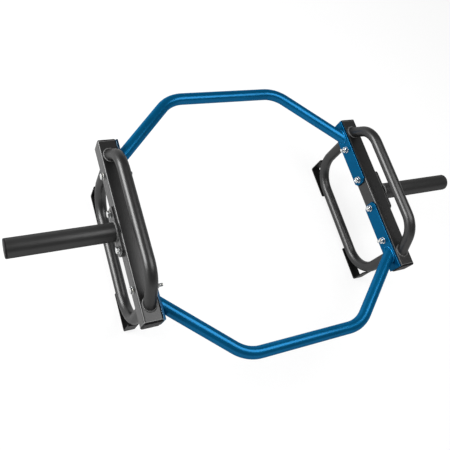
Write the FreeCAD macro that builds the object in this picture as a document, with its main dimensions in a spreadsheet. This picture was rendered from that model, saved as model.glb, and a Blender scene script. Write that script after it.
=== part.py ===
import FreeCAD, Part
import Sketcher
import math
import os

# Driving sizes in millimetres. X runs along the sleeves, Y along the side beams, Z is up from the floor.
driving = {
    # Whole bar
    "overall_length": 1400,
    "beam_spacing": 800,
    "axis_height": 230,
    # Side beams, square tube
    "beam_length": 510,
    "beam_side": 50,
    "beam_wall": 2.5,
    "beam_corner": 5,
    # Plugs that close the beams and the sleeves
    "cap_head": 5,
    "cap_bevel": 2.5,
    "plug_depth": 18,
    "plug_wall": 2,
    # Upper handles: rise of the grip over the beam, span of the grip's corners and of the feet
    "handle_tube": 32,
    "handle_wall": 2.5,
    "handle_bend": 72,
    "handle_rise": 79,
    "handle_grip": 326,
    "handle_stance": 414,
    # Lower frames
    "stand_tube": 33,
    "stand_wall": 2.5,
    "stand_bend": 86,
    "stand_stance": 403,
    # Feet, strip bent to an L
    "foot_width": 30,
    "foot_thickness": 4,
    "foot_length": 110,
    "foot_height": 61,
    "foot_bend": 2,
    # Frame tubes: span of the two long runs, of a run's corners, and of the ends on one beam
    "frame_tube": 34,
    "frame_wall": 2.5,
    "frame_bend": 100,
    "frame_depth": 766,
    "frame_run": 359,
    "frame_stance": 410,
    # Joint plates
    "plate_thickness": 6,
    "plate_height": 50,
    "plate_gap": 70,
    "plate_clip": 10,
    "plate_edge": 1.5,
    # Sleeves and their flanges
    "sleeve_diameter": 50,
    "sleeve_wall": 3,
    "sleeve_cap_round": 3,
    "flange_thickness": 8,
    "flange_length": 130,
    "flange_height": 44,
    "flange_corner": 10,
    # Bolts, nuts and washers: the outer bolts stand back from the frame tubes' ends
    "bolt_diameter": 10,
    "bolt_length": 80,
    "bolt_point": 1,
    "bolt_head": 6.4,
    "hex_flats": 16,
    "nut_height": 8,
    "washer_diameter": 20,
    "washer_thickness": 2,
    "bolt_inner_span": 100,
    "bolt_setback": 46,
    # Fits: clearance round a bolt or plug, gap under a weld, overrun of a cut
    "clearance": 0.3,
    "weld_gap": 0.2,
    "overrun": 40,
}
doc = FreeCAD.newDocument("HexTrapBar")
sheet = doc.addObject("Spreadsheet::Sheet", "Sizes")
for row, (name, size) in enumerate(driving.items(), start=1):
    sheet.set(f"A{row}", name)
    sheet.set(f"B{row}", str(size))
    sheet.setAlias(f"B{row}", name)
doc.recompute()

# Places that several pieces share
beam_x = "Sizes.beam_spacing / 2"
beam_top = "Sizes.axis_height + Sizes.beam_side / 2"
beam_underside = "Sizes.axis_height - Sizes.beam_side / 2"
outer_face = "(Sizes.beam_spacing + Sizes.beam_side) / 2"
flange_face = f"({outer_face} + Sizes.flange_thickness)"
plate_face = "((Sizes.beam_spacing - Sizes.beam_side) / 2 - Sizes.plate_thickness)"
cap_seat = "(Sizes.beam_length / 2 - Sizes.cap_head)"
bevel_start = "(Sizes.beam_length / 2 - Sizes.cap_bevel)"
sleeve_end = "(Sizes.overall_length / 2 - Sizes.cap_head)"
stand_axis = "(Sizes.foot_thickness + Sizes.weld_gap + Sizes.stand_tube / 2)"
bolt_inner = "(Sizes.bolt_inner_span / 2)"
bolt_outer = "(Sizes.frame_stance / 2 - Sizes.bolt_setback)"
bolt_hole = "Sizes.bolt_diameter + 2 * Sizes.clearance"

# A sketch element's points, the sketch's own origin, and the least size that counts as a length
START, END, CENTRE = range(1, 4)
ORIGIN = (-1, 1)
tolerance = 1e-6

X = FreeCAD.Vector(1, 0, 0)
Y = FreeCAD.Vector(0, 1, 0)
Z = FreeCAD.Vector(0, 0, 1)
as_drawn = FreeCAD.Rotation()
about_x = FreeCAD.Rotation(X, 180)
about_y = FreeCAD.Rotation(Y, 180)
about_z = FreeCAD.Rotation(Z, 180)
outward = FreeCAD.Rotation(Y, 90)
inward = FreeCAD.Rotation(Y, -90)

# Pieces are drawn on the right or at the rear and turned to the other places
side_places = {"left": f"-{beam_x}", "right": beam_x}
side_turns = {"left": about_z, "right": as_drawn}
end_turns = {"front": about_z, "rear": as_drawn}
corner_turns = {"left_front": about_z, "left_rear": about_y, "right_front": about_x, "right_rear": as_drawn}
subparts = []


def value(formula):
    return float(sheet.evalExpression(formula))


def point(place):
    return FreeCAD.Vector(value(place[0]), value(place[1]), 0)


# Sketches

def origin_plane(body, role):
    return next(item for item in body.Origin.OriginFeatures if item.Role == role)


def new_sketch(body, name, role, offset="0"):
    sketch = body.newObject("Sketcher::SketchObject", name)
    sketch.AttachmentSupport = (origin_plane(body, role), [""])
    sketch.MapMode = "FlatFace"
    sketch.setExpression("AttachmentOffset.Base.z", offset)
    return sketch


def join(sketch, kind, *elements):
    sketch.addConstraint(Sketcher.Constraint(kind, *elements))


def dimension(sketch, kind, elements, formula):
    number = sketch.addConstraint(Sketcher.Constraint(kind, *elements, value(formula)))
    sketch.setExpression(f"Constraints[{number}]", formula)


def locate(sketch, element, place):
    dimension(sketch, "DistanceX", (*ORIGIN, *element), place[0])
    dimension(sketch, "DistanceY", (*ORIGIN, *element), place[1])


def outline(sketch, corners):
    first = sketch.GeometryCount
    count = len(corners)
    for index, corner in enumerate(corners):
        following = corners[(index + 1) % count]
        sketch.addGeometry(Part.LineSegment(point(corner), point(following)))
    for index, corner in enumerate(corners):
        join(sketch, "Coincident", first + (index - 1) % count, END, first + index, START)
        locate(sketch, (first + index, START), corner)


def rectangle(sketch, low, high):
    outline(sketch, [low, (high[0], low[1]), high, (low[0], high[1])])


def circle(sketch, diameter, centre=("0", "0")):
    number = sketch.addGeometry(Part.Circle(point(centre), Z, value(diameter) / 2))
    locate(sketch, (number, CENTRE), centre)
    dimension(sketch, "Diameter", (number,), diameter)


def rounded_rectangle(sketch, width, height, radius):
    half_width = value(width) / 2
    half_height = value(height) / 2
    corner = value(radius)
    first = sketch.GeometryCount
    for index in range(4):
        turn = FreeCAD.Rotation(Z, 90 * index)
        along, reach = (half_width, half_height) if index % 2 == 0 else (half_height, half_width)
        run_start = FreeCAD.Vector(corner - along, -reach, 0)
        run_end = FreeCAD.Vector(along - corner, -reach, 0)
        pivot = FreeCAD.Vector(along - corner, corner - reach, 0)
        middle = pivot + (X - Y).normalize() * corner
        arc_end = FreeCAD.Vector(along, corner - reach, 0)
        sketch.addGeometry(Part.LineSegment(turn.multVec(run_start), turn.multVec(run_end)))
        sketch.addGeometry(Part.Arc(turn.multVec(run_end), turn.multVec(middle), turn.multVec(arc_end)))
    lines = [first + 2 * index for index in range(4)]
    for index, line in enumerate(lines):
        arc = line + 1
        join(sketch, "Tangent", line, END, arc, START)
        join(sketch, "Tangent", arc, END, lines[(index + 1) % 4], START)
        join(sketch, "Horizontal" if index % 2 == 0 else "Vertical", line)
        dimension(sketch, "Radius", (arc,), radius)
    bottom, right, top, left = lines
    dimension(sketch, "DistanceY", (*ORIGIN, bottom, START), f"-({height}) / 2")
    dimension(sketch, "DistanceX", (*ORIGIN, right, START), f"({width}) / 2")
    dimension(sketch, "DistanceY", (*ORIGIN, top, START), f"({height}) / 2")
    dimension(sketch, "DistanceX", (*ORIGIN, left, START), f"-({width}) / 2")


def bent_path(sketch, begin, corner, seat, tip_direction, tip, radius):
    # A run from begin towards the corner, a bend to the right, and a leg through the seat to its tip
    turn_point = point(corner)
    run = (turn_point - point(begin)).normalize()
    leg = (point(seat) - turn_point).normalize()
    half_turn = run.getAngle(leg) / 2
    bend = value(radius)
    run_end = turn_point - run * (bend * math.tan(half_turn))
    leg_start = turn_point + leg * (bend * math.tan(half_turn))
    middle = turn_point + (leg - run).normalize() * (bend / math.cos(half_turn) - bend)
    run_line = sketch.addGeometry(Part.LineSegment(point(begin), run_end))
    arc = sketch.addGeometry(Part.Arc(leg_start, middle, run_end))
    leg_line = sketch.addGeometry(Part.LineSegment(leg_start, point(seat)))
    join(sketch, "Tangent", run_line, END, arc, END)
    join(sketch, "Tangent", arc, START, leg_line, START)
    locate(sketch, (run_line, START), begin)
    corner_mark = sketch.addGeometry(Part.Point(turn_point), True)
    seat_mark = sketch.addGeometry(Part.Point(point(seat)), True)
    locate(sketch, (corner_mark, START), corner)
    locate(sketch, (seat_mark, START), seat)
    join(sketch, "PointOnObject", corner_mark, START, run_line)
    join(sketch, "PointOnObject", corner_mark, START, leg_line)
    join(sketch, "PointOnObject", seat_mark, START, leg_line)
    dimension(sketch, "Radius", (arc,), radius)
    dimension(sketch, tip_direction, (*ORIGIN, leg_line, END), tip)


# Features

def new_body(label):
    body = doc.addObject("PartDesign::Body", label)
    body.Label = label
    return body


def pad(body, sketch, length, side_type="One side", backwards=False):
    feature = body.newObject("PartDesign::Pad", f"{sketch.Name}_pad")
    feature.Profile = sketch
    feature.SideType = side_type
    feature.Reversed = backwards
    feature.setExpression("Length", length)
    doc.recompute()
    return feature


def cut_through(body, sketch):
    before = body.Shape.Volume
    feature = body.newObject("PartDesign::Pocket", f"{sketch.Name}_cut")
    feature.Profile = sketch
    feature.Type = "ThroughAll"
    feature.SideType = "Symmetric"
    doc.recompute()
    if body.Shape.Volume > before - tolerance:
        raise RuntimeError(f"{feature.Name} cuts nothing")
    return feature


def bolt_holes(body, places):
    sketch = new_sketch(body, f"{body.Name}_holes", "YZ_Plane")
    for place in places:
        circle(sketch, bolt_hole, (place, "0"))
    return cut_through(body, sketch)


def dress(body, kind, base, size_name, size, chosen):
    # A fillet or chamfer on the edges of the base that the test picks
    edges = [f"Edge{number}" for number, edge in enumerate(base.Shape.Edges, start=1) if chosen(edge)]
    feature = body.newObject(kind, f"{base.Name}_edges")
    feature.Base = (base, edges)
    feature.setExpression(size_name, size)
    doc.recompute()
    return feature


def finish(piece, turn=as_drawn, across="0", height="0"):
    piece.Placement = FreeCAD.Placement(FreeCAD.Vector(), turn)
    piece.setExpression("Placement.Base.x", across)
    piece.setExpression("Placement.Base.z", height)
    subparts.append(piece)


# Side beams and their end plugs

def side_beam(label, across):
    body = new_body(label)
    section = new_sketch(body, f"{label}_section", "XZ_Plane")
    rounded_rectangle(section, "Sizes.beam_side", "Sizes.beam_side", "Sizes.beam_corner")
    bore = "Sizes.beam_side - 2 * Sizes.beam_wall"
    rounded_rectangle(section, bore, bore, "Sizes.beam_corner - Sizes.beam_wall")
    pad(body, section, f"2 * {cap_seat}", "Symmetric")
    bolt_holes(body, [bolt_inner, f"-{bolt_inner}", bolt_outer, f"-{bolt_outer}"])
    finish(body, as_drawn, across, "Sizes.axis_height")


def beam_cap(label, across, turn):
    body = new_body(label)
    face = new_sketch(body, f"{label}_face", "XZ_Plane", f"-{cap_seat}")
    rounded_rectangle(face, "Sizes.beam_side", "Sizes.beam_side", "Sizes.beam_corner")
    head = pad(body, face, "Sizes.cap_head", backwards=True)
    end = value("Sizes.beam_length / 2")
    dress(body, "PartDesign::Chamfer", head, "Size", "Sizes.cap_bevel",
          lambda edge: edge.BoundBox.YMin > end - tolerance)
    plug = new_sketch(body, f"{label}_plug", "XZ_Plane", f"-{cap_seat}")
    plug_side = "Sizes.beam_side - 2 * Sizes.beam_wall - 2 * Sizes.clearance"
    plug_bore = f"{plug_side} - 2 * Sizes.plug_wall"
    rounded_rectangle(plug, plug_side, plug_side, "Sizes.beam_corner - Sizes.beam_wall")
    rounded_rectangle(plug, plug_bore, plug_bore, "Sizes.beam_corner - Sizes.beam_wall")
    pad(body, plug, "Sizes.plug_depth")
    finish(body, turn, across, "Sizes.axis_height")


# Bent tubes: half of each is swept from its middle, cut where it seats, and mirrored

def bent_tube(label, planes, tube, wall, middle, path, cut):
    path_plane, middle_plane = planes
    body = new_body(label)
    spine = new_sketch(body, f"{label}_path", path_plane)
    bent_path(spine, *path)
    section = new_sketch(body, f"{label}_section", middle_plane)
    circle(section, tube, middle)
    circle(section, f"{tube} - 2 * {wall}", middle)
    half = body.newObject("PartDesign::AdditivePipe", f"{label}_half")
    half.Profile = section
    half.Spine = (spine, [])
    doc.recompute()
    seat = new_sketch(body, f"{label}_seat", path_plane)
    rectangle(seat, *cut)
    seat_cut = cut_through(body, seat)
    mirror = body.newObject("PartDesign::Mirrored", f"{label}_mirror")
    mirror.Originals = [half, seat_cut]
    mirror.MirrorPlane = (origin_plane(body, middle_plane), [""])
    body.Tip = mirror
    doc.recompute()
    return body


def upper_handle(label, across):
    rise = "Sizes.handle_rise"
    body = bent_tube(
        label, ("YZ_Plane", "XZ_Plane"), "Sizes.handle_tube", "Sizes.handle_wall", ("0", rise),
        (("0", rise), ("Sizes.handle_grip / 2", rise), ("Sizes.handle_stance / 2", "0"),
         "DistanceY", "-Sizes.overrun", "Sizes.handle_bend"),
        (("0", "-2 * Sizes.overrun"), ("Sizes.handle_stance", "0")))
    finish(body, as_drawn, across, beam_top)


def lower_frame(label, across):
    drop = f"{beam_underside} - {stand_axis}"
    leg = "Sizes.stand_stance / 2"
    body = bent_tube(
        label, ("YZ_Plane", "XZ_Plane"), "Sizes.stand_tube", "Sizes.stand_wall", ("0", drop),
        (("0", drop), (leg, drop), (leg, "0"), "DistanceY", "-Sizes.overrun", "Sizes.stand_bend"),
        (("0", "-2 * Sizes.overrun"), ("Sizes.stand_stance", "0")))
    finish(body, about_y, across, beam_underside)


def frame_tube(label, turn):
    depth = "Sizes.frame_depth / 2"
    body = bent_tube(
        label, ("XY_Plane", "YZ_Plane"), "Sizes.frame_tube", "Sizes.frame_wall", (depth, "0"),
        (("0", depth), ("Sizes.frame_run / 2", depth), (plate_face, "Sizes.frame_stance / 2"),
         "DistanceX", f"{plate_face} + Sizes.overrun", "Sizes.frame_bend"),
        ((plate_face, "0"), (f"{plate_face} + 2 * Sizes.overrun", depth)))
    finish(body, turn, "0", "Sizes.axis_height")


# Feet: the floor leg lies under the tube, the upright meets the outside of its bend at the top

def foot(label, across, turn):
    pivot_height = f"({stand_axis} + Sizes.stand_bend)"
    bend_outside = "(Sizes.stand_bend + Sizes.stand_tube / 2 + Sizes.weld_gap)"
    back = (f"(Sizes.stand_stance / 2 - Sizes.stand_bend"
            f" + sqrt({bend_outside}^2 - ({pivot_height} - Sizes.foot_height)^2))")
    front = f"({back} + Sizes.foot_thickness)"
    toe = f"({front} - Sizes.foot_length)"
    body = new_body(label)
    profile = new_sketch(body, f"{label}_profile", "YZ_Plane")
    outline(profile, [(toe, "0"), (front, "0"), (front, "Sizes.foot_height"), (back, "Sizes.foot_height"),
                      (back, "Sizes.foot_thickness"), (toe, "Sizes.foot_thickness")])
    strip = pad(body, profile, "Sizes.foot_width", "Symmetric")
    inside = FreeCAD.Vector(0, value(back), value("Sizes.foot_thickness"))
    outside = FreeCAD.Vector(0, value(front), 0)
    inner_bend = dress(body, "PartDesign::Fillet", strip, "Radius", "Sizes.foot_bend",
                       lambda edge: edge.CenterOfMass.isEqual(inside, tolerance))
    dress(body, "PartDesign::Fillet", inner_bend, "Radius", "Sizes.foot_bend + Sizes.foot_thickness",
          lambda edge: edge.CenterOfMass.isEqual(outside, tolerance))
    finish(body, turn, across)


# Plates that are welded to the frame tubes and bolted to the beams

def joint_plate(label, turn):
    inner_end = "Sizes.plate_gap / 2"
    clip_end = f"({inner_end} + Sizes.plate_clip)"
    edge = "Sizes.plate_height / 2"
    clip_edge = f"({edge} - Sizes.plate_clip)"
    body = new_body(label)
    face = new_sketch(body, f"{label}_face", "YZ_Plane", plate_face)
    outline(face, [(clip_end, f"-{edge}"), (bevel_start, f"-{edge}"), (bevel_start, edge),
                   (clip_end, edge), (inner_end, clip_edge), (inner_end, f"-{clip_edge}")])
    strip = pad(body, face, "Sizes.plate_thickness")
    free_face = value(plate_face)
    dress(body, "PartDesign::Fillet", strip, "Radius", "Sizes.plate_edge",
          lambda edge: edge.BoundBox.XMax < free_face + tolerance)
    bolt_holes(body, [bolt_inner, bolt_outer])
    finish(body, turn, "0", "Sizes.axis_height")


# Sleeves

def sleeve_flange(label, turn):
    body = new_body(label)
    face = new_sketch(body, f"{label}_face", "YZ_Plane", outer_face)
    rounded_rectangle(face, "Sizes.flange_length", "Sizes.flange_height", "Sizes.flange_corner")
    pad(body, face, "Sizes.flange_thickness")
    bolt_holes(body, [bolt_inner, f"-{bolt_inner}"])
    finish(body, turn, "0", "Sizes.axis_height")


def sleeve(label, turn):
    body = new_body(label)
    section = new_sketch(body, f"{label}_section", "YZ_Plane", flange_face)
    circle(section, "Sizes.sleeve_diameter")
    circle(section, "Sizes.sleeve_diameter - 2 * Sizes.sleeve_wall")
    pad(body, section, f"{sleeve_end} - {flange_face}")
    finish(body, turn, "0", "Sizes.axis_height")


def sleeve_cap(label, turn):
    end = "Sizes.overall_length / 2"
    plug_end = f"({sleeve_end} - Sizes.plug_depth)"
    rim = "Sizes.sleeve_diameter / 2"
    plug = f"({rim} - Sizes.sleeve_wall - Sizes.clearance)"
    bore = f"({plug} - Sizes.plug_wall)"
    body = new_body(label)
    profile = new_sketch(body, f"{label}_profile", "XY_Plane")
    outline(profile, [(sleeve_end, "0"), (end, "0"), (end, rim), (sleeve_end, rim),
                      (sleeve_end, plug), (plug_end, plug), (plug_end, bore), (sleeve_end, bore)])
    turned = body.newObject("PartDesign::Revolution", f"{label}_turned")
    turned.Profile = profile
    turned.ReferenceAxis = (profile, ["H_Axis"])
    doc.recompute()
    dress(body, "PartDesign::Fillet", turned, "Radius", "Sizes.sleeve_cap_round",
          lambda edge: edge.BoundBox.XMin > value(end) - tolerance and edge.BoundBox.YMax > tolerance)
    finish(body, turn, "0", "Sizes.axis_height")


# Fasteners: one of each is made along Z and linked to its four places on a beam

def primitive(kind, name, height="0", **sizes):
    item = doc.addObject(kind, name)
    for size_name, formula in sizes.items():
        item.setExpression(size_name, formula)
    item.setExpression("Placement.Base.z", height)
    return item


def hexagon(name, height):
    # A hexagonal prism whose corners are turned off at thirty degrees on its free face
    flats_radius = "Sizes.hex_flats / 2"
    prism = primitive("Part::Prism", f"{name}_prism", Circumradius=f"{flats_radius} / cos(30 deg)", Height=height)
    cone = primitive("Part::Cone", f"{name}_cone", Radius1=f"{flats_radius} + {height} / tan(30 deg)",
                     Radius2=flats_radius, Height=height)
    crowned = doc.addObject("Part::MultiCommon", f"{name}_hexagon")
    crowned.Shapes = [prism, cone]
    return crowned


def bored(name, solid, height):
    bore = primitive("Part::Cylinder", f"{name}_bore", Radius=f"({bolt_hole}) / 2", Height=height)
    cut = doc.addObject("Part::Cut", name)
    cut.Base = solid
    cut.Tool = bore
    return cut


def bolt():
    radius = "Sizes.bolt_diameter / 2"
    shank_length = "(Sizes.bolt_length - Sizes.bolt_point)"
    head = hexagon("bolt_head", "Sizes.bolt_head")
    shank = primitive("Part::Cylinder", "bolt_shank", f"-{shank_length}", Radius=radius, Height=shank_length)
    end = primitive("Part::Cone", "bolt_end", "-Sizes.bolt_length", Radius1=f"{radius} - Sizes.bolt_point",
                    Radius2=radius, Height="Sizes.bolt_point")
    fused = doc.addObject("Part::MultiFuse", "bolt")
    fused.Shapes = [head, shank, end]
    return fused


def nut():
    return bored("nut", hexagon("nut_body", "Sizes.nut_height"), "Sizes.nut_height")


def washer():
    disc = primitive("Part::Cylinder", "washer_disc", Radius="Sizes.washer_diameter / 2",
                     Height="Sizes.washer_thickness")
    return bored("washer", disc, "Sizes.washer_thickness")


def fastener_set(name, piece, turn, inner_seat, outer_seat):
    places = {bolt_inner: inner_seat, f"-{bolt_inner}": inner_seat,
              bolt_outer: outer_seat, f"-{bolt_outer}": outer_seat}
    links = []
    for along, seat in places.items():
        link = doc.addObject("App::Link", f"{name}_link")
        link.LinkedObject = piece
        link.Placement = FreeCAD.Placement(FreeCAD.Vector(), turn)
        link.setExpression("Placement.Base.x", seat)
        link.setExpression("Placement.Base.y", along)
        links.append(link)
    for side, side_turn in side_turns.items():
        group = doc.addObject("Part::Compound", f"{side}_{name}")
        group.Label = f"{side}_{name}"
        group.Links = links
        finish(group, side_turn, "0", "Sizes.axis_height")


# The whole bar

for side, across in side_places.items():
    side_beam(f"{side}_side_beam", across)
    upper_handle(f"{side}_upper_handle", across)
    lower_frame(f"{side}_lower_frame", across)
    sleeve_flange(f"{side}_sleeve_flange", side_turns[side])
    sleeve(f"{side}_sleeve", side_turns[side])
    sleeve_cap(f"{side}_sleeve_cap", side_turns[side])
    for end, turn in end_turns.items():
        beam_cap(f"{side}_{end}_beam_cap", across, turn)
        foot(f"{side}_{end}_foot", across, turn)
for end, turn in end_turns.items():
    frame_tube(f"{end}_frame_tube", turn)
for corner, turn in corner_turns.items():
    joint_plate(f"{corner}_joint_plate", turn)

washer_piece = washer()
under_head = "Sizes.washer_thickness"
fastener_set("head_washers", washer_piece, outward, flange_face, outer_face)
fastener_set("bolts", bolt(), outward, f"{flange_face} + {under_head}", f"{outer_face} + {under_head}")
fastener_set("nut_washers", washer_piece, inward, plate_face, plate_face)
fastener_set("nuts", nut(), inward, f"{plate_face} - {under_head}", f"{plate_face} - {under_head}")

doc.recompute()
failed = [item.Label for item in doc.Objects if "Invalid" in item.State or "Error" in item.State]
failed += [piece.Label for piece in subparts if piece.Shape.isNull() or not piece.Shape.isValid()]
if failed:
    raise RuntimeError("not built: " + ", ".join(failed))
os.makedirs("parts", exist_ok=True)
for piece in subparts:
    piece.Shape.exportStep(f"parts/{piece.Label}.step")
    print(piece.Label, len(piece.Shape.Solids), round(piece.Shape.Volume))
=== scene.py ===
import math

import bpy
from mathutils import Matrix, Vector


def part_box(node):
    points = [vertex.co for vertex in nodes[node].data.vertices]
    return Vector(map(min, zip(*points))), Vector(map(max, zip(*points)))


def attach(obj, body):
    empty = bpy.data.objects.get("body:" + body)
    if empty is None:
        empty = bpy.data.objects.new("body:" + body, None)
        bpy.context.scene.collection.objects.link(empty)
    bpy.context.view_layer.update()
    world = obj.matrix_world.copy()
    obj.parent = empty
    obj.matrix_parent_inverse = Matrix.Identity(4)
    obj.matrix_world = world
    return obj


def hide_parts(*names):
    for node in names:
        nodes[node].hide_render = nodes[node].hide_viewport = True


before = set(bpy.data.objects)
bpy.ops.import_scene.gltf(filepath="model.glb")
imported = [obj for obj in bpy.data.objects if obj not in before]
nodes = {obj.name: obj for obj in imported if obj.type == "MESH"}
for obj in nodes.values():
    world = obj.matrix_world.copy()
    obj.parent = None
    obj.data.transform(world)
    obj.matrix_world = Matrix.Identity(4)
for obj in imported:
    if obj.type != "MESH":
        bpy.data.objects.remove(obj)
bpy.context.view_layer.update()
scene = bpy.context.scene
mm = 0.001  # the scene is in metres, sizes below are in millimetres
print("loaded", len(nodes), "CAD pieces")


def linearColor(hexCode):
    channels = [int(hexCode[i:i + 2], 16) / 255 for i in (1, 3, 5)]
    return [c / 12.92 if c <= 0.04045 else ((c + 0.055) / 1.055) ** 2.4 for c in channels] + [1.0]


def addNode(tree, kind, settings=None, inputs=None):
    node = tree.nodes.new(kind)
    for name, value in (settings or {}).items():
        setattr(node, name, value)
    for name, value in (inputs or {}).items():
        if isinstance(value, bpy.types.NodeSocket):
            tree.links.new(value, node.inputs[name])
        else:
            node.inputs[name].default_value = value
    return node


def newMaterial(name):
    material = bpy.data.materials.new(name)
    material.use_nodes = True
    material.node_tree.nodes.clear()
    return material, material.node_tree


noiseSpan = {"From Min": 0.3, "From Max": 0.7}  # nearly all of a noise lies between these
wearAndHighlightSpan = {"From Min": 0.99, "From Max": 0.85}  # cosine of the turn where the lighter edge, wear and painted highlight, begins and is full
edgeShadeSpan = {"From Min": 0.8, "From Max": 0.3}  # X of the normal on a strip's flat face and on its edge, where the painted shade is full


# Powder coat: polyester powder baked on steel. It flows into a fine orange peel with some grit, and its
# gloss is even with faint cloudy patches. Its edges are painted lighter: partly wear where the coat runs
# thin, partly a painted highlight along rounded corners.
# The peel and the grit are drawn coarser and deeper than the real 1 mm and 0.2 mm, or they would not
# show. The flake is a thin share of bright pigment on top, whose gloss hardly rises towards the limb of
# a tube, and the rim is the tint of the metallic share there.
def powderCoat(name, look):
    material, tree = newMaterial(name)
    place = addNode(tree, "ShaderNodeTexCoord").outputs["Object"]
    cloud = addNode(tree, "ShaderNodeTexNoise", None, {
        "Vector": place, "Scale": 1 / (look["cloudSize"] * mm), "Detail": 3.0, "Roughness": 0.55})
    peel = addNode(tree, "ShaderNodeTexNoise", None, {
        "Vector": place, "Scale": 1 / (look["peelSize"] * mm), "Detail": 1.0, "Roughness": 0.4})
    grit = addNode(tree, "ShaderNodeTexNoise", None, {
        "Vector": place, "Scale": 1 / (look["gritSize"] * mm), "Detail": 2.0, "Roughness": 0.6})
    softEdge = addNode(tree, "ShaderNodeBevel", {"samples": 6}, {"Radius": look["edgeRadius"] * mm})
    wearAndHighlightBevel = addNode(tree, "ShaderNodeBevel", {"samples": 8}, {"Radius": look["wearAndHighlightRadius"] * mm})
    flat = addNode(tree, "ShaderNodeNewGeometry").outputs["Normal"]
    turn = addNode(tree, "ShaderNodeVectorMath", {"operation": "DOT_PRODUCT"},
                   {0: wearAndHighlightBevel.outputs[0], 1: flat})
    edge = addNode(tree, "ShaderNodeMapRange", None, {"Value": turn.outputs["Value"], **wearAndHighlightSpan})
    wearAndHighlight = addNode(tree, "ShaderNodeMath", {"operation": "MULTIPLY"},
                   {0: edge.outputs[0], 1: grit.outputs["Fac"]})
    tone = addNode(tree, "ShaderNodeMapRange", None, {"Value": cloud.outputs["Fac"], **noiseSpan})
    body = addNode(tree, "ShaderNodeMix", {"data_type": "RGBA"},
                   {0: tone.outputs[0], 6: linearColor(look["deep"]), 7: linearColor(look["color"])})
    if "paintedEdgeShade" in look:  # painted shade: the flat strips lie in the YZ plane, and their edge faces, off X, are darkened
        face = addNode(tree, "ShaderNodeSeparateXYZ", None, {0: flat})
        flush = addNode(tree, "ShaderNodeMath", {"operation": "ABSOLUTE"}, {0: face.outputs["X"]})
        edgeShade = addNode(tree, "ShaderNodeMapRange", None, {"Value": flush.outputs[0], **edgeShadeSpan})
        body = addNode(tree, "ShaderNodeMix", {"data_type": "RGBA"},
                       {0: edgeShade.outputs[0], 6: body.outputs[2], 7: linearColor(look["paintedEdgeShade"])})
    # lighter edges: wear where the coat runs thin, and a painted highlight along rounded corners
    skin = addNode(tree, "ShaderNodeMix", {"data_type": "RGBA"},
                   {0: wearAndHighlight.outputs[0], 6: body.outputs[2], 7: linearColor(look["edge"])})
    gloss = addNode(tree, "ShaderNodeMapRange", None,
                    {"Value": cloud.outputs["Fac"], **noiseSpan,
                     "To Min": look["roughness"] - look["roughnessSpread"],
                     "To Max": look["roughness"] + look["roughnessSpread"]})
    peelBump = addNode(tree, "ShaderNodeBump", None,
                       {"Strength": look["peelStrength"], "Distance": look["peelDepth"] * mm,
                        "Height": peel.outputs["Fac"], "Normal": softEdge.outputs[0]})
    gritBump = addNode(tree, "ShaderNodeBump", None,
                       {"Strength": look["gritStrength"], "Distance": look["gritDepth"] * mm,
                        "Height": grit.outputs["Fac"], "Normal": peelBump.outputs[0]})
    shader = addNode(tree, "ShaderNodeBsdfPrincipled", None,
                     {"Base Color": skin.outputs[2], "Roughness": gloss.outputs[0],
                      "Metallic": look["metallic"], "Specular IOR Level": look["specular"],
                      "Specular Tint": linearColor(look["rim"]), "Coat Weight": look["flake"],
                      "Coat IOR": look["flakeIor"], "Coat Roughness": look["flakeRoughness"],
                      "Normal": gritBump.outputs[0]})
    addNode(tree, "ShaderNodeOutputMaterial", None, {"Surface": shader.outputs[0]})
    return material


blueLook = {  # more than half metallic: the highlight stays blue
    "color": "#025D8B", "deep": "#025681", "edge": "#1A78AC",
    "cloudSize": 70, "peelSize": 3.0, "peelDepth": 0.2, "peelStrength": 0.5,
    "gritSize": 0.9, "gritDepth": 0.07, "gritStrength": 0.5, "edgeRadius": 0.9, "wearAndHighlightRadius": 2.0,
    "roughness": 0.29, "roughnessSpread": 0.03, "metallic": 0.62, "specular": 0.0, "rim": "#9FC4D3",
    "flake": 0.02, "flakeIor": 4.0, "flakeRoughness": 0.19}
blueCoat = powderCoat("metallicBluePowderCoat", blueLook)
shadedPlateCoat = powderCoat("shadedMetallicBluePlateCoat", {  # matched to the photo: a darker copy of the blue coat, painted shade, edge faces darker still
    # the pale edge colour here is a painted highlight along the corners, partly wear as well
    **blueLook, "color": "#025079", "deep": "#024A70", "paintedEdgeShade": "#012C46", "edge": "#93AFBF",
    "wearAndHighlightRadius": 1.6, "flake": 0.0125})
# charcoal: its pale edge colour is mostly a painted highlight along the beams' rounded corners, some wear
charcoalLook = {
    "color": "#171717", "deep": "#131313", "edge": "#979797",
    "cloudSize": 60, "peelSize": 2.6, "peelDepth": 0.3, "peelStrength": 0.6,
    "gritSize": 1.0, "gritDepth": 0.2, "gritStrength": 0.7, "edgeRadius": 0.9, "wearAndHighlightRadius": 4.0,
    "roughness": 0.35, "roughnessSpread": 0.03, "metallic": 0.0, "specular": 0.10, "rim": "#FFFFFF",
    "flake": 0.21, "flakeIor": 2.5, "flakeRoughness": 0.35}
charcoalCoat = powderCoat("charcoalPowderCoat", charcoalLook)
tubeCoat = powderCoat("charcoalTubeCoat", {  # matched to the photo: limbs with less shine
    **charcoalLook, "specular": 0.04, "flake": 0.127, "flakeIor": 4.0})
sleeveCoat = powderCoat("charcoalSleeveCoat", {  # the same powder, a little duller
    "color": "#242424", "deep": "#202020", "edge": "#505050",
    "cloudSize": 45, "peelSize": 2.4, "peelDepth": 0.3, "peelStrength": 0.6,
    "gritSize": 1.0, "gritDepth": 0.25, "gritStrength": 0.8, "edgeRadius": 0.9, "wearAndHighlightRadius": 2.0,
    "roughness": 0.38, "roughnessSpread": 0.04, "metallic": 0.0, "specular": 0.0, "rim": "#FFFFFF",
    "flake": 0.122, "flakeIor": 4.0, "flakeRoughness": 0.38})
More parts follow.
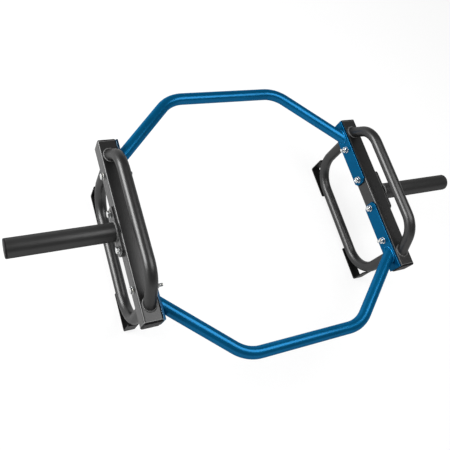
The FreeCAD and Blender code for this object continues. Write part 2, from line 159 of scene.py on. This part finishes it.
blackCoat = powderCoat("blackPowderCoat", {  # the feet: a plain dull black, with no flake
    "color": "#141414", "deep": "#101010", "edge": "#303030",
    "cloudSize": 40, "peelSize": 2.4, "peelDepth": 0.3, "peelStrength": 0.6,
    "gritSize": 1.0, "gritDepth": 0.2, "gritStrength": 0.7, "edgeRadius": 0.8, "wearAndHighlightRadius": 1.6,
    "roughness": 0.48, "roughnessSpread": 0.05, "metallic": 0.0, "specular": 0.08, "rim": "#FFFFFF",
    "flake": 0.0, "flakeIor": 1.5, "flakeRoughness": 0.3})


# Polyethylene plugs: moulded in a sparked steel tool, so an even fine grain and a dull sheen. The grain
# is drawn coarser and deeper than the real 0.2 mm, or it would not show.
plasticLook = {
    "color": "#0C0C0D", "pale": "#19191B", "hazeSize": 25, "edgeRadius": 0.8,
    "grainSize": 1.4, "grainDepth": 0.25, "grainStrength": 0.5, "grainSoftness": 0.6,
    "roughness": 0.5, "roughnessSpread": 0.05, "specular": 0.055}


def mouldedPlastic(name, look):
    material, tree = newMaterial(name)
    place = addNode(tree, "ShaderNodeTexCoord").outputs["Object"]
    grain = addNode(tree, "ShaderNodeTexVoronoi", {"feature": "SMOOTH_F1"},
                    {"Vector": place, "Scale": 1 / (look["grainSize"] * mm),
                     "Smoothness": look["grainSoftness"]})
    haze = addNode(tree, "ShaderNodeTexNoise", None,
                   {"Vector": place, "Scale": 1 / (look["hazeSize"] * mm), "Detail": 3.0})
    color = addNode(tree, "ShaderNodeMix", {"data_type": "RGBA"},
                    {0: haze.outputs["Fac"],
                     6: linearColor(look["color"]), 7: linearColor(look["pale"])})
    gloss = addNode(tree, "ShaderNodeMapRange", None,
                    {"Value": haze.outputs["Fac"],
                     "To Min": look["roughness"] - look["roughnessSpread"],
                     "To Max": look["roughness"] + look["roughnessSpread"]})
    softEdge = addNode(tree, "ShaderNodeBevel", {"samples": 6}, {"Radius": look["edgeRadius"] * mm})
    bump = addNode(tree, "ShaderNodeBump", None,
                   {"Strength": look["grainStrength"], "Distance": look["grainDepth"] * mm,
                    "Height": grain.outputs["Distance"], "Normal": softEdge.outputs[0]})
    shader = addNode(tree, "ShaderNodeBsdfPrincipled", None,
                     {"Base Color": color.outputs[2], "Roughness": gloss.outputs[0], "IOR": 1.5,
                      "Specular IOR Level": look["specular"], "Normal": bump.outputs[0]})
    addNode(tree, "ShaderNodeOutputMaterial", None, {"Surface": shader.outputs[0]})
    return material


# Bright zinc plate: barrel plated small parts, silver with a faint straw passivation and tumbling
# marks, so the gloss breaks up from face to face.
zincLook = {
    "silver": "#DADCDD", "straw": "#D0CDC2", "shadow": "#A4A9AE", "shadowShare": 0.5,
    "stainSize": 9, "stainSpan": {"From Min": 0.45, "From Max": 0.75}, "edgeRadius": 0.4,
    "markSize": 1.2, "markSpan": {"From Min": 0.55, "From Max": 0.8}, "markDepth": 0.03,
    "markStrength": 0.3, "roughness": (0.14, 0.32)}


def zincPlate(name, look):
    material, tree = newMaterial(name)
    place = addNode(tree, "ShaderNodeTexCoord").outputs["Object"]
    stain = addNode(tree, "ShaderNodeTexNoise", None,
                    {"Vector": place, "Scale": 1 / (look["stainSize"] * mm), "Detail": 3.0})
    marks = addNode(tree, "ShaderNodeTexNoise", None,
                    {"Vector": place, "Scale": 1 / (look["markSize"] * mm),
                     "Detail": 4.0, "Roughness": 0.65})
    tint = addNode(tree, "ShaderNodeMapRange", None, {"Value": stain.outputs["Fac"], **look["stainSpan"]})
    plate = addNode(tree, "ShaderNodeMix", {"data_type": "RGBA"},
                    {0: tint.outputs[0], 6: linearColor(look["silver"]), 7: linearColor(look["straw"])})
    dull = addNode(tree, "ShaderNodeMapRange", None,
                   {"Value": marks.outputs["Fac"], **look["markSpan"], "To Max": look["shadowShare"]})
    color = addNode(tree, "ShaderNodeMix", {"data_type": "RGBA"},
                    {0: dull.outputs[0], 6: plate.outputs[2], 7: linearColor(look["shadow"])})
    gloss = addNode(tree, "ShaderNodeMapRange", None,
                    {"Value": marks.outputs["Fac"], **noiseSpan,
                     "To Min": look["roughness"][0], "To Max": look["roughness"][1]})
    softEdge = addNode(tree, "ShaderNodeBevel", {"samples": 6}, {"Radius": look["edgeRadius"] * mm})
    bump = addNode(tree, "ShaderNodeBump", None,
                   {"Strength": look["markStrength"], "Distance": look["markDepth"] * mm,
                    "Height": marks.outputs["Fac"], "Normal": softEdge.outputs[0]})
    shader = addNode(tree, "ShaderNodeBsdfPrincipled", None,
                     {"Base Color": color.outputs[2], "Metallic": 1.0, "Roughness": gloss.outputs[0],
                      "Normal": bump.outputs[0]})
    addNode(tree, "ShaderNodeOutputMaterial", None, {"Surface": shader.outputs[0]})
    return material


plugPlastic = mouldedPlastic("mouldedPolyethylene", plasticLook)
sleevePlastic = mouldedPlastic("mouldedSleevePlug", {  # matched to the photo: greyer
    **plasticLook, "color": "#1C1C1D", "pale": "#262627"})
zinc = zincPlate("brightZincPlate", zincLook)

finishes = {  # which finish each CAD piece wears, by the end of its name
    "frame_tube": blueCoat, "joint_plate": shadedPlateCoat,
    "side_beam": charcoalCoat, "upper_handle": tubeCoat, "lower_frame": tubeCoat,
    "sleeve_flange": charcoalCoat, "sleeve": sleeveCoat, "foot": blackCoat,
    "beam_cap": plugPlastic, "sleeve_cap": sleevePlastic,
    "washers": zinc, "bolts": zinc, "nuts": zinc}
for name, piece in nodes.items():
    finish = next(material for ending, material in finishes.items() if name.endswith(ending))
    piece.data.materials.clear()
    piece.data.materials.append(finish)
print("finishes on", len(nodes), "pieces")


def newTree(name, inputs):
    tree = bpy.data.node_groups.new(name, "GeometryNodeTree")
    tree.interface.new_socket("Geometry", in_out="INPUT", socket_type="NodeSocketGeometry")
    for label, kind in inputs.items():
        tree.interface.new_socket(label, in_out="INPUT", socket_type=kind)
    tree.interface.new_socket("Geometry", in_out="OUTPUT", socket_type="NodeSocketGeometry")
    return tree, addNode(tree, "NodeGroupInput").outputs


def bakeTree(name, mesh, tree, values):
    source = bpy.data.objects.new(name + "Path", mesh)
    scene.collection.objects.link(source)
    modifier = source.modifiers.new("shape", "NODES")
    modifier.node_group = tree
    for item in tree.interface.items_tree:
        if item.in_out == "INPUT" and item.name in values:
            modifier[item.identifier] = values[item.name]
    graph = bpy.context.evaluated_depsgraph_get()
    solid = bpy.data.meshes.new_from_object(source.evaluated_get(graph), depsgraph=graph)
    source.modifiers.remove(modifier)
    bpy.data.objects.remove(source)
    piece = bpy.data.objects.new(name, solid)
    scene.collection.objects.link(piece)
    return piece


beads = {  # degrees and millimetres, overlap and footRise are shares
    "handleLean": 29, "frameTurn": 43.4, "reach": 1.0, "sleeveReach": 1.2, "overlap": 1.15,
    "footEnds": 2.0, "toeEnds": 3.0, "footLift": 1.6, "footInset": 1.2, "footRise": 0.6,
    "toeHeight": 2.8, "toeReach": 0.3,
    "ripple": {"Pitch": 2.1 * mm, "Width": 6.6 * mm, "Height": 2.4 * mm, "Lean": math.radians(24),
               "Unevenness": 0.07, "Seed": 7},
    "footRipple": {"Pitch": 2.0 * mm, "Width": 5.0 * mm, "Height": 1.9 * mm, "Lean": math.radians(24),
                   "Unevenness": 0.08, "Seed": 11}}


# Weld beads: overlapping ripples laid along each seam, leaning back along the travel.
def rippleTree():
    tree, given = newTree("weldRipples", {
        "Pitch": "NodeSocketFloat", "Width": "NodeSocketFloat", "Height": "NodeSocketFloat",
        "Lean": "NodeSocketFloat", "Unevenness": "NodeSocketFloat", "Seed": "NodeSocketInt",
        "Material": "NodeSocketMaterial"})
    seam = addNode(tree, "GeometryNodeMeshToCurve", None, {"Mesh": given["Geometry"]})
    steps = addNode(tree, "GeometryNodeResampleCurve", {"mode": "LENGTH"},
                    {"Curve": seam.outputs[0], "Length": given["Pitch"]})
    outward = addNode(tree, "GeometryNodeInputNamedAttribute", {"data_type": "FLOAT_VECTOR"},
                      {"Name": "outward"})
    travel = addNode(tree, "GeometryNodeInputTangent")
    facing = addNode(tree, "FunctionNodeAlignRotationToVector", {"axis": "Z"},
                     {"Vector": outward.outputs[0]})
    along = addNode(tree, "FunctionNodeAlignRotationToVector", {"axis": "X", "pivot_axis": "Z"},
                    {"Rotation": facing.outputs[0], "Vector": travel.outputs[0]})
    lean = addNode(tree, "ShaderNodeCombineXYZ", None, {"Y": given["Lean"]})
    tilted = addNode(tree, "FunctionNodeRotateRotation", {"rotation_space": "LOCAL"},
                     {"Rotation": along.outputs[0], "Rotate By": lean.outputs[0]})
    length = addNode(tree, "ShaderNodeMath", {"operation": "MULTIPLY"},
                     {0: given["Pitch"], 1: beads["overlap"]})
    halfWidth = addNode(tree, "ShaderNodeMath", {"operation": "MULTIPLY"}, {0: given["Width"], 1: 0.5})
    size = addNode(tree, "ShaderNodeCombineXYZ", None,
                   {"X": length.outputs[0], "Y": halfWidth.outputs[0], "Z": given["Height"]})
    least = addNode(tree, "ShaderNodeMath", {"operation": "SUBTRACT"}, {0: 1.0, 1: given["Unevenness"]})
    most = addNode(tree, "ShaderNodeMath", {"operation": "ADD"}, {0: 1.0, 1: given["Unevenness"]})
    wobble = addNode(tree, "FunctionNodeRandomValue", {"data_type": "FLOAT"},
                     {2: least.outputs[0], 3: most.outputs[0], "Seed": given["Seed"]})
    scaled = addNode(tree, "ShaderNodeVectorMath", {"operation": "SCALE"},
                     {0: size.outputs[0], "Scale": wobble.outputs[1]})
    drop = addNode(tree, "GeometryNodeMeshUVSphere", None, {"Segments": 8, "Rings": 6, "Radius": 1.0})
    ripples = addNode(tree, "GeometryNodeInstanceOnPoints", None,
                      {"Points": steps.outputs[0], "Instance": drop.outputs[0],
                       "Rotation": tilted.outputs[0], "Scale": scaled.outputs[0]})
    real = addNode(tree, "GeometryNodeRealizeInstances", None, {"Geometry": ripples.outputs[0]})
    smooth = addNode(tree, "GeometryNodeSetShadeSmooth", None, {"Geometry": real.outputs[0]})
    coated = addNode(tree, "GeometryNodeSetMaterial", None,
                     {"Geometry": smooth.outputs[0], "Material": given["Material"]})
    addNode(tree, "NodeGroupOutput", None, {"Geometry": coated.outputs[0]})
    return tree


def ovalSeam(centre, acrossA, acrossB, radiusA, radiusB, normal, count=64):
    points = []
    for step in range(count):
        angle = 2 * math.pi * step / count
        away = acrossA * (math.cos(angle) * radiusB) + acrossB * (math.sin(angle) * radiusA)
        place = centre + acrossA * (math.cos(angle) * radiusA) + acrossB * (math.sin(angle) * radiusB)
        points.append((place, (away.normalized() + normal).normalized()))
    return points, True


def straightSeam(start, end, outward):
    return [(start, outward), (end, outward)], False


def seamMesh(name, seams):
    places, outward, edges = [], [], []
    for points, closed in seams:
        first, count = len(places), len(points)
        places += [place * mm for place, direction in points]
        outward += [direction for place, direction in points]
        edges += [(first + i, first + (i + 1) % count) for i in range(count if closed else count - 1)]
    mesh = bpy.data.meshes.new(name)
    mesh.from_pydata(places, edges, [])
    store = mesh.attributes.new("outward", "FLOAT_VECTOR", "POINT")
    store.data.foreach_set("vector", [value for direction in outward for value in direction])
    return mesh


def boxOf(name):  # lowest and highest corner of a CAD piece, and half its size, in millimetres
    low, high = [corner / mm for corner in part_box(name)]
    return low, high, (high - low) / 2


xAxis, yAxis, zAxis = Vector((1, 0, 0)), Vector((0, 1, 0)), Vector((0, 0, 1))
corners = [(sideX, sideY) for sideX in (-1, 1) for sideY in (-1, 1)]
beamLow, beamHigh = boxOf("right_side_beam")[:2]
beamAxis = (beamLow + beamHigh) / 2
reach = beads["reach"]  # how far the middle of a bead lies off its tube
darkSeams, blueSeams, footSeams = [], [], []

handleHigh, handleHalf = boxOf("right_upper_handle")[1:]  # its legs lean out, so each foot is an oval
handleLong = handleHalf.x / math.cos(math.radians(beads["handleLean"]))
handleFoot = Vector((beamAxis.x, handleHigh.y - handleLong, beamHigh.z))
standHigh, standHalf = boxOf("right_lower_frame")[1:]
standTop = Vector((beamAxis.x, standHigh.y - standHalf.x, beamLow.z))
tubeLow, tubeHalf = boxOf("rear_frame_tube")[::2]  # it meets the plate at an angle: an oval again
tubeLong = tubeHalf.z / math.cos(math.radians(beads["frameTurn"]))
tubeEnd = Vector((boxOf("right_rear_joint_plate")[0].x, tubeLow.y + tubeLong, beamAxis.z))
sleeveRoot = Vector((boxOf("right_sleeve_flange")[1].x, 0, beamAxis.z))
sleeveRadius = boxOf("right_sleeve")[2].z + beads["sleeveReach"]
footLow, footHigh, footHalf = boxOf("right_rear_foot")
footTop = Vector((beamAxis.x, footHigh.y - beads["footInset"], footHigh.z + beads["footLift"]))
footToe = Vector((beamAxis.x, footLow.y - beads["toeReach"], beads["toeHeight"]))
footSpan = (footHalf.x - beads["footEnds"]) * xAxis
toeSpan = (footHalf.x - beads["toeEnds"]) * xAxis

for sideX, sideY in corners:
    side = Vector((sideX, sideY, 1))
    darkSeams.append(ovalSeam(side * handleFoot, xAxis, yAxis,
                              handleHalf.x + reach, handleLong + reach, zAxis))
    darkSeams.append(ovalSeam(side * standTop, xAxis, yAxis,
                              standHalf.x + reach, standHalf.x + reach, -zAxis))
    blueSeams.append(ovalSeam(side * tubeEnd, yAxis, zAxis,
                              tubeLong + reach, tubeHalf.z + reach, -sideX * xAxis))
    footSeams.append(straightSeam(side * footTop - footSpan, side * footTop + footSpan,
                                  (sideY * yAxis + beads["footRise"] * zAxis).normalized()))
    footSeams.append(straightSeam(side * footToe - toeSpan, side * footToe + toeSpan, -sideY * yAxis))
for sideX in (-1, 1):
    darkSeams.append(ovalSeam(Vector((sideX, 1, 1)) * sleeveRoot, yAxis, zAxis,
                              sleeveRadius, sleeveRadius, sideX * xAxis))
print("seams:", len(darkSeams), "charcoal,", len(blueSeams), "blue,", len(footSeams), "on the feet")
weld = rippleTree()
for name, seams, ripple, coat, slot in (
        ("charcoalWelds", darkSeams, beads["ripple"], charcoalCoat, "charcoal_powder_coat"),
        ("blueWelds", blueSeams, beads["ripple"], blueCoat, "blue_powder_coat"),
        ("footWelds", footSeams, beads["footRipple"], blackCoat, "black_powder_coat")):
    piece = bakeTree(name, seamMesh(name + "Seams", seams), weld, {**ripple, "Material": coat})
    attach(piece, "root")
    print(piece.name, len(piece.data.polygons), "faces")


bolt = {  # millimetres, the shares are of the width across flats, the pitch and the ridge
    "flats": 16, "headHeight": 6.4, "crownShare": 0.96, "chamfer": math.radians(30), "headSides": 48,
    "diameter": 9.9, "length": 80, "shankSides": 32, "threadLength": 30, "pitch": 1.5,
    "ridgeShare": 0.48, "rootShare": 0.35, "stepsPerTurn": 28, "flangeSetback": 15, "seed": 3}


# Hex bolts with their real rolled thread, in place of the plain shanks.
def boltTree():
    tree, given = newTree("hexBolts", {
        "Flats": "NodeSocketFloat", "Head Height": "NodeSocketFloat", "Diameter": "NodeSocketFloat",
        "Length": "NodeSocketFloat", "Thread Length": "NodeSocketFloat", "Pitch": "NodeSocketFloat",
        "Seed": "NodeSocketInt", "Material": "NodeSocketMaterial"})
    at = addNode(tree, "ShaderNodeSeparateXYZ", None,
                 {0: addNode(tree, "GeometryNodeInputPosition").outputs[0]}).outputs
    sixth = math.radians(60)
    sums = {  # each from the ones before it: the head's rings, then the shank, then the thread
        "halfFlats": ("MULTIPLY", "Flats", 0.5),
        "crown": ("MULTIPLY", "halfFlats", bolt["crownShare"]),
        "angle": ("ARCTAN2", "Y", "X"),
        "turned": ("ADD", "angle", sixth / 2),
        "withinSixth": ("FLOORED_MODULO", "turned", sixth),
        "offFlat": ("SUBTRACT", "withinSixth", sixth / 2),
        "slant": ("COSINE", "offFlat", 0.0),
        "hexRadius": ("DIVIDE", "halfFlats", "slant"),
        "spare": ("SUBTRACT", "hexRadius", "crown"),
        "drop": ("MULTIPLY", "spare", math.tan(bolt["chamfer"])),
        "onTop": ("GREATER_THAN", "Z", 0.5),
        "aboveSeat": ("GREATER_THAN", "Z", -0.5),
        "inward": ("SUBTRACT", "crown", "hexRadius"),
        "topInward": ("MULTIPLY", "onTop", "inward"),
        "radius": ("ADD", "hexRadius", "topInward"),
        "belowTop": ("SUBTRACT", 1.0, "onTop"),
        "cornerDrop": ("MULTIPLY", "drop", "belowTop"),
        "dropped": ("SUBTRACT", "Head Height", "cornerDrop"),
        "headX": ("MULTIPLY", "radius", "X"),
        "headY": ("MULTIPLY", "radius", "Y"),
        "headZ": ("MULTIPLY", "aboveSeat", "dropped"),
        "plainLength": ("SUBTRACT", "Length", "Thread Length"),
        "halfDiameter": ("MULTIPLY", "Diameter", 0.5),
        "ridge": ("MULTIPLY", "Pitch", bolt["ridgeShare"]),
        "midRadius": ("SUBTRACT", "halfDiameter", "ridge"),
        "rootDepth": ("MULTIPLY", "ridge", bolt["rootShare"]),
        "coreRadius": ("SUBTRACT", "midRadius", "rootDepth"),
        "rotations": ("DIVIDE", "Thread Length", "Pitch"),
        "tip": ("MULTIPLY", "Length", -1.0),
        "plainMiddle": ("MULTIPLY", "plainLength", -0.5),
        "halfThread": ("MULTIPLY", "Thread Length", 0.5),
        "coreMiddle": ("ADD", "tip", "halfThread")}
    size = {socket.name: socket for socket in [*given, *at]}
    for name, (operation, first, second) in sums.items():
        size[name] = addNode(tree, "ShaderNodeMath", {"operation": operation},
                             {0: size.get(first, first), 1: size.get(second, second)}).outputs[0]

    # The head: three rings of a cylinder pulled out to a hexagon, its corners turned off at the top.
    rings = addNode(tree, "GeometryNodeMeshCylinder", {"fill_type": "TRIANGLE_FAN"},
                    {"Vertices": bolt["headSides"], "Side Segments": 2, "Radius": 1.0, "Depth": 2.0})
    corner = addNode(tree, "ShaderNodeCombineXYZ", None,
                     {"X": size["headX"], "Y": size["headY"], "Z": size["headZ"]})
    head = addNode(tree, "GeometryNodeSetPosition", None,
                   {"Geometry": rings.outputs[0], "Position": corner.outputs[0]})
    plain = addNode(tree, "GeometryNodeMeshCylinder", None,
                    {"Vertices": bolt["shankSides"], "Radius": size["halfDiameter"],
                     "Depth": size["plainLength"]})
    core = addNode(tree, "GeometryNodeMeshCylinder", None,
                   {"Vertices": bolt["shankSides"], "Radius": size["coreRadius"],
                    "Depth": given["Thread Length"]})
    helix = addNode(tree, "GeometryNodeCurveSpiral", None,
                    {"Resolution": bolt["stepsPerTurn"], "Rotations": size["rotations"],
                     "Start Radius": size["midRadius"], "End Radius": size["midRadius"],
                     "Height": given["Thread Length"]})
    upright = addNode(tree, "GeometryNodeSetCurveNormal", {"mode": "Z_UP"}, {"Curve": helix.outputs[0]})
    ridge = addNode(tree, "GeometryNodeCurvePrimitiveCircle", None,
                    {"Resolution": 4, "Radius": size["ridge"]})
    thread = addNode(tree, "GeometryNodeCurveToMesh", None,
                     {"Curve": upright.outputs[0], "Profile Curve": ridge.outputs[0], "Fill Caps": True})
    whole = addNode(tree, "GeometryNodeJoinGeometry", None, {0: head.outputs[0]})
    for part, height in ((plain, "plainMiddle"), (core, "coreMiddle"), (thread, "tip")):
        place = addNode(tree, "ShaderNodeCombineXYZ", None, {"Z": size[height]})
        moved = addNode(tree, "GeometryNodeTransform", None,
                        {"Geometry": part.outputs[0], "Translation": place.outputs[0]})
        tree.links.new(moved.outputs[0], whole.inputs[0])
    outward = addNode(tree, "GeometryNodeInputNamedAttribute", {"data_type": "FLOAT_VECTOR"},
                      {"Name": "outward"})
    facing = addNode(tree, "FunctionNodeAlignRotationToVector", {"axis": "Z"},
                     {"Vector": outward.outputs[0]})
    spin = addNode(tree, "FunctionNodeRandomValue", {"data_type": "FLOAT"},
                   {2: 0.0, 3: math.pi, "Seed": given["Seed"]})
    turn = addNode(tree, "ShaderNodeCombineXYZ", None, {"Z": spin.outputs[1]})
    turned = addNode(tree, "FunctionNodeRotateRotation", {"rotation_space": "LOCAL"},
                     {"Rotation": facing.outputs[0], "Rotate By": turn.outputs[0]})
    placed = addNode(tree, "GeometryNodeInstanceOnPoints", None,
                     {"Points": given["Geometry"], "Instance": whole.outputs[0],
                      "Rotation": turned.outputs[0]})
    real = addNode(tree, "GeometryNodeRealizeInstances", None, {"Geometry": placed.outputs[0]})
    plated = addNode(tree, "GeometryNodeSetMaterial", None,
                     {"Geometry": real.outputs[0], "Material": given["Material"]})
    addNode(tree, "NodeGroupOutput", None, {"Geometry": plated.outputs[0]})
    return tree


boltSizes = {
    "Flats": bolt["flats"] * mm, "Head Height": bolt["headHeight"] * mm,
    "Diameter": bolt["diameter"] * mm, "Length": bolt["length"] * mm,
    "Thread Length": bolt["threadLength"] * mm, "Pitch": bolt["pitch"] * mm,
    "Seed": bolt["seed"], "Material": zinc}
flangeHigh = boxOf("right_sleeve_flange")[1]
washerFace = boxOf("right_head_washers")[1].x
innerBolt = Vector((washerFace, flangeHigh.y - bolt["flangeSetback"], beamAxis.z))
outerBolt = Vector((beamHigh.x + washerFace - flangeHigh.x,
                    boxOf("right_nuts")[1].y - bolt["flats"] / 2, beamAxis.z))
heads = [(Vector((sideX, sideY, 1)) * place, sideX * xAxis)
         for sideX, sideY in corners for place in (innerBolt, outerBolt)]
boltPoints = seamMesh("boltPoints", [([head], False) for head in heads])
bolts = bakeTree("hexBolts", boltPoints, boltTree(), boltSizes)
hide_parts("left_bolts", "right_bolts")
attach(bolts, "root")
print(bolts.name, len(bolts.data.polygons), "faces")

# Studio: pale floor, one soft box overhead, one at the left, a weak fill in front, and the camera
# fitted to the photograph.
studio = {
    "floorSize": 40, "paper": (1.6, 3.2),  # the floor is lit paper that fades out between these radii
    "paperTones": ("#7C7C7C", "#808080"), "paperGlow": 0.82, "paperGrain": 60.0,  # grain per metre
    "unseenFloor": "#9A9A9A",  # what the floor throws back on the object
    "room": 0.23, "horizon": 0.95, "wall": (0.05, 0.35),  # pale wall, dimmer towards the ceiling
    "camera": {"place": (-0.80174, -0.50640, 1.58064), "turn": (24.7139, -20.0534, -17.9313),
               "lens": 46.0557, "sensor": 36}}
lampSet = {
    "overhead": {"place": (0.40, -0.08, 1.65), "aim": (0.40, -0.08, 0), "size": (1.3, 0.9), "watts": 17},
    "leftBox": {"place": (-2.78, 1.06, 1.08), "aim": (-0.2, 0, 0.25), "size": (2.2, 1.6), "watts": 150},
    "frontFill": {"place": (0.1, -3.2, 0.9), "aim": (0.1, 0, 0.3), "size": (5.0, 1.8), "watts": 10}}


def plainlySeen(tree):  # one for what the camera sees, straight or in a gloss, none for what only lights
    path = addNode(tree, "ShaderNodeLightPath").outputs
    seen = addNode(tree, "ShaderNodeMath", {"operation": "MAXIMUM"},
                   {0: path["Is Camera Ray"], 1: path["Is Glossy Ray"]})
    return addNode(tree, "ShaderNodeMath", {"operation": "MAXIMUM"},
                   {0: seen.outputs[0], 1: path["Is Transmission Ray"]}).outputs[0]


def paleFloor():
    material, tree = newMaterial("paleStudioFloor")
    shown = plainlySeen(tree)
    white = (1, 1, 1, 1)
    darkTone, paleTone = [linearColor(tone) for tone in studio["paperTones"]]
    place = addNode(tree, "ShaderNodeTexCoord").outputs["Object"]
    paper = addNode(tree, "ShaderNodeTexNoise", None,
                    {"Vector": place, "Scale": studio["paperGrain"], "Detail": 4.0})
    tone = addNode(tree, "ShaderNodeMix", {"data_type": "RGBA"},
                   {0: paper.outputs["Fac"], 6: darkTone, 7: paleTone})
    lit = addNode(tree, "ShaderNodeBsdfDiffuse", None, {"Color": tone.outputs[2]})
    away = addNode(tree, "ShaderNodeVectorMath", {"operation": "LENGTH"}, {0: place})
    fade = addNode(tree, "ShaderNodeMapRange", {"interpolation_type": "SMOOTHSTEP"},
                   {"Value": away.outputs["Value"],
                    "From Min": studio["paper"][0], "From Max": studio["paper"][1]})
    glow = addNode(tree, "ShaderNodeEmission", None, {"Color": white, "Strength": studio["paperGlow"]})
    bright = addNode(tree, "ShaderNodeAddShader", None, {0: lit.outputs[0], 1: glow.outputs[0]})
    far = addNode(tree, "ShaderNodeEmission", None, {"Color": white, "Strength": studio["horizon"]})
    sweep = addNode(tree, "ShaderNodeMixShader", None,
                    {0: fade.outputs[0], 1: bright.outputs[0], 2: far.outputs[0]})
    dim = addNode(tree, "ShaderNodeBsdfDiffuse", None, {"Color": linearColor(studio["unseenFloor"])})
    shader = addNode(tree, "ShaderNodeMixShader", None,
                     {0: shown, 1: dim.outputs[0], 2: sweep.outputs[0]})
    addNode(tree, "ShaderNodeOutputMaterial", None, {"Surface": shader.outputs[0]})
    return material


edge = studio["floorSize"] / 2
floorMesh = bpy.data.meshes.new("floor")
floorMesh.from_pydata([(-edge, -edge, 0), (edge, -edge, 0), (edge, edge, 0), (-edge, edge, 0)], [],
                      [(0, 1, 2, 3)])
floorMesh.materials.append(paleFloor())
floor = bpy.data.objects.new("floor", floorMesh)
scene.collection.objects.link(floor)

world = bpy.data.worlds.new("studio")
scene.world = world
world.use_nodes = True
world.node_tree.nodes.clear()
tree = world.node_tree
shown = plainlySeen(tree)
sky = addNode(tree, "ShaderNodeTexCoord").outputs["Generated"]
upward = addNode(tree, "ShaderNodeSeparateXYZ", None, {0: sky})
wall = addNode(tree, "ShaderNodeMapRange", {"interpolation_type": "SMOOTHSTEP"},
               {"Value": upward.outputs["Z"], "From Min": studio["wall"][0], "From Max": studio["wall"][1],
                "To Min": studio["horizon"], "To Max": studio["room"]})
level = addNode(tree, "ShaderNodeMix", {"data_type": "FLOAT"},
                {0: shown, 2: studio["room"], 3: wall.outputs[0]})
air = addNode(tree, "ShaderNodeBackground", None, {"Color": (1, 1, 1, 1), "Strength": level.outputs[0]})
addNode(tree, "ShaderNodeOutputWorld", None, {"Surface": air.outputs[0]})

for name, box in lampSet.items():
    light = bpy.data.lights.new(name, "AREA")
    light.shape = "RECTANGLE"
    light.size, light.size_y = box["size"]
    light.energy = box["watts"]
    lamp = bpy.data.objects.new(name, light)
    lamp.location = box["place"]
    aim = Vector(box["aim"]) - Vector(box["place"])
    lamp.rotation_euler = aim.to_track_quat("-Z", "Y").to_euler()
    scene.collection.objects.link(lamp)

lens = bpy.data.cameras.new("camera")
lens.sensor_width = studio["camera"]["sensor"]
lens.lens = studio["camera"]["lens"]
camera = bpy.data.objects.new("camera", lens)
camera.location = studio["camera"]["place"]
camera.rotation_euler = [math.radians(angle) for angle in studio["camera"]["turn"]]
scene.collection.objects.link(camera)
scene.camera = camera
scene.view_settings.view_transform = "Standard"
print("studio and camera set")
